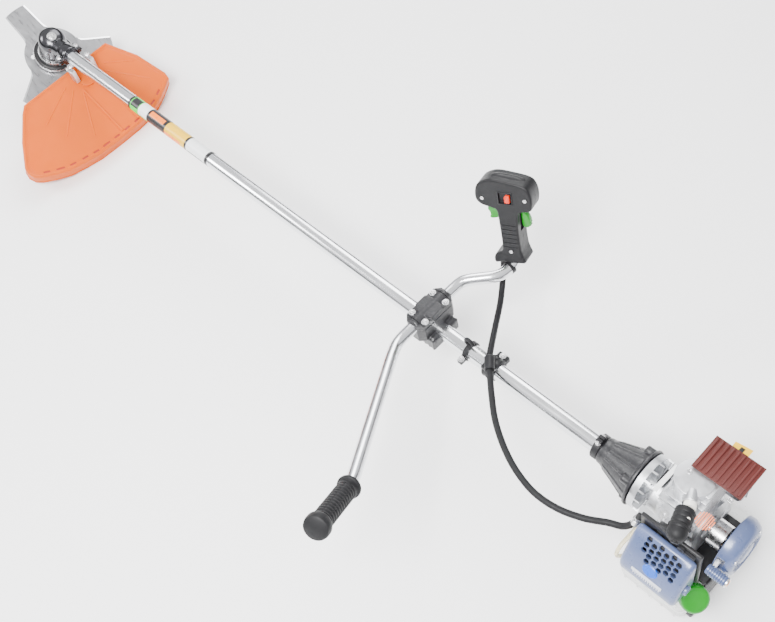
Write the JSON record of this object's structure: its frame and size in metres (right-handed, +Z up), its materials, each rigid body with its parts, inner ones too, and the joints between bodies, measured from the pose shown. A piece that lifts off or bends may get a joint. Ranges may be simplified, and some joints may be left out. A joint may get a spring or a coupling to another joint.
{
  "type": "brush cutter",
  "caption": "Petrol brush cutter: straight tube shaft, toothed disc blade with fan-shaped guard, asymmetric two-grip handlebar, throttle grip and rear engine.",
  "frame": {"origin": "on the ground below the middle of the machine's outline", "axes": "+X along the shaft towards the blade, +Y to the user's left, +Z up"},
  "size_m": [1.8439, 0.6162, 0.3214],
  "materials": {
    "tube_chrome": "polished",
    "steel": "satin",
    "blade_steel": "satin",
    "cast_dark": "satin",
    "alloy": "matt",
    "iron": "matt",
    "black_plastic": "matt",
    "rubber": "matt",
    "orange_plastic": "gloss",
    "guard_plastic": "gloss",
    "green_plastic": "gloss",
    "red_plastic": "gloss",
    "slate_plastic": "satin",
    "tank_plastic": "satin",
    "clear_hose": "gloss",
    "ceramic": "gloss",
    "foam": "matt",
    "rope": "matt"
  },
  "bodies": {
    "machine": {"gear_case": "cast_dark", "head_bolts": "steel", "debris_cup": "black_plastic", "ball_bearings": "steel", "guard": "guard_plastic", "guard_bracket": "alloy", "shaft_tube": "tube_chrome", "shaft_bushes": "rubber", "clamp_base": "cast_dark", "clamp_cap": "cast_dark", "clamp_bolts": "steel", "throttle_cable": "rubber", "cable_clip": "black_plastic", "harness_hanger": "cast_dark", "clutch_housing": "cast_dark", "shaft_collar": "black_plastic", "crankcase": "alloy", "cylinder_barrel": "alloy", "spark_plug": "ceramic", "plug_boot": "rubber", "ignition_coil": "black_plastic", "muffler": "alloy", "engine_cover": "orange_plastic", "engine_screws": "steel", "carburettor": "alloy", "filter_base": "black_plastic", "filter_element": "foam", "fuel_tank": "tank_plastic", "fuel_line": "clear_hose", "tank_stand": "black_plastic", "recoil_housing": "slate_plastic"},
    "blade_group": {"cutter_blade": "blade_steel", "blade_nut": "steel", "blade_flanges": "steel", "output_shaft": "steel", "driven_bevel_gear": "steel"},
    "drive_line": {"drive_shaft": "steel", "drive_pinion": "steel", "clutch_drum": "iron"},
    "crank_group": {"crankshaft": "steel", "flywheel_fan": "alloy", "clutch_shoes": "iron"},
    "piston_group": {"piston": "alloy", "connecting_rod": "steel"},
    "handlebar_group": {"handlebar": "tube_chrome", "left_grip": "rubber", "throttle_shell_left": "black_plastic", "throttle_shell_right": "black_plastic", "grip_screws": "steel"},
    "trigger_body": {"throttle_trigger": "green_plastic"},
    "lockout_body": {"trigger_lockout": "green_plastic"},
    "switch_body": {"stop_switch": "red_plastic"},
    "carb_lever": {"throttle_lever": "steel"},
    "choke_body": {"choke_lever": "black_plastic"},
    "primer_body": {"primer_bulb": "clear_hose"},
    "cap_body": {"fuel_cap": "green_plastic"},
    "filter_lid": {"filter_cover": "slate_plastic"},
    "pull_grip": {"starter_handle": "rubber", "starter_rope": "rope"},
    "pulley_body": {"starter_pulley": "black_plastic"}
  },
  "joints": [
    {"name": "blade_spin", "type": "hinge", "parent": "machine", "child": "blade_group", "pos_m": [0.81592, -0.091, 0.08146], "axis": [-0.5446, 0, 0.8387], "continuous": true},
    {"name": "drive_spin", "type": "hinge", "parent": "machine", "child": "drive_line", "pos_m": [-0.67885, -0.091, 0.13346], "axis": [1, 0, 0], "continuous": true},
    {"name": "crank_spin", "type": "hinge", "parent": "machine", "child": "crank_group", "pos_m": [-0.82185, -0.091, 0.13346], "axis": [1, 0, 0], "continuous": true},
    {"name": "piston_stroke", "type": "slide", "parent": "machine", "child": "piston_group", "axis": [0, 0, 1], "range_m": [-0.032, 0]},
    {"name": "handlebar_tilt", "type": "hinge", "parent": "machine", "child": "handlebar_group", "pos_m": [-0.33385, -0.091, 0.16746], "axis": [0, 1, 0], "range_deg": [-12, 12], "deforming": ["throttle_cable"]},
    {"name": "trigger_pull", "type": "hinge", "parent": "handlebar_group", "child": "trigger_body", "pos_m": [-0.33142, -0.26357, 0.2678], "axis": [-0.3115, 0.8999, 0.3052], "range_deg": [0, 18], "stiffness_Nm_per_rad": 0.25, "springref_deg": -20.05},
    {"name": "lockout_press", "type": "hinge", "parent": "handlebar_group", "child": "lockout_body", "pos_m": [-0.37206, -0.27832, 0.26983], "axis": [0.3115, -0.8999, -0.3052], "range_deg": [0, 12], "stiffness_Nm_per_rad": 0.25, "springref_deg": -11.46},
    {"name": "stop_slide", "type": "slide", "parent": "handlebar_group", "child": "switch_body", "axis": [0.9158, 0.37, -0.1564], "range_m": [0, 0.008]},
    {"name": "carb_lever_turn", "type": "hinge", "parent": "machine", "child": "carb_lever", "pos_m": [-0.81485, -0.039, 0.20736], "axis": [0, 0, -1], "range_deg": [0, 62]},
    {"name": "choke_turn", "type": "hinge", "parent": "machine", "child": "choke_body", "pos_m": [-0.85885, -0.0166, 0.20446], "axis": [0, 1, 0], "range_deg": [0, 60]},
    {"name": "primer_press", "type": "slide", "parent": "machine", "child": "primer_body", "axis": [0, 0, 1], "range_m": [0, 0.003], "stiffness_N_per_m": 400, "springref_m": -0.002},
    {"name": "cap_turn", "type": "hinge", "parent": "machine", "child": "cap_body", "pos_m": [-0.89185, -0.011, 0.09146], "axis": [-0.6188, 0.3593, 0.6986], "range_deg": [0, 340]},
    {"name": "filter_lid_off", "type": "slide", "parent": "machine", "child": "filter_lid", "axis": [0, 1, 0], "range_m": [0, 0.06]},
    {"name": "rope_pull", "type": "slide", "parent": "machine", "child": "pull_grip", "axis": [0, 0.5299, 0.848], "range_m": [0, 0.2], "stiffness_N_per_m": 20, "springref_m": -0.15, "deforming": ["starter_rope"]},
    {"name": "pulley_turn", "type": "hinge", "parent": "machine", "child": "pulley_body", "pos_m": [-0.90435, -0.091, 0.13346], "axis": [1, 0, 0], "range_deg": [0, 338]}
  ],
  "couplings": [
    {"joint": "drive_spin", "follows": "blade_spin", "ratio": -1.3571},
    {"joint": "carb_lever_turn", "follows": "trigger_pull", "ratio": 3.4},
    {"joint": "pulley_turn", "follows": "rope_pull", "rad_per_m": 29.154}
  ]
}
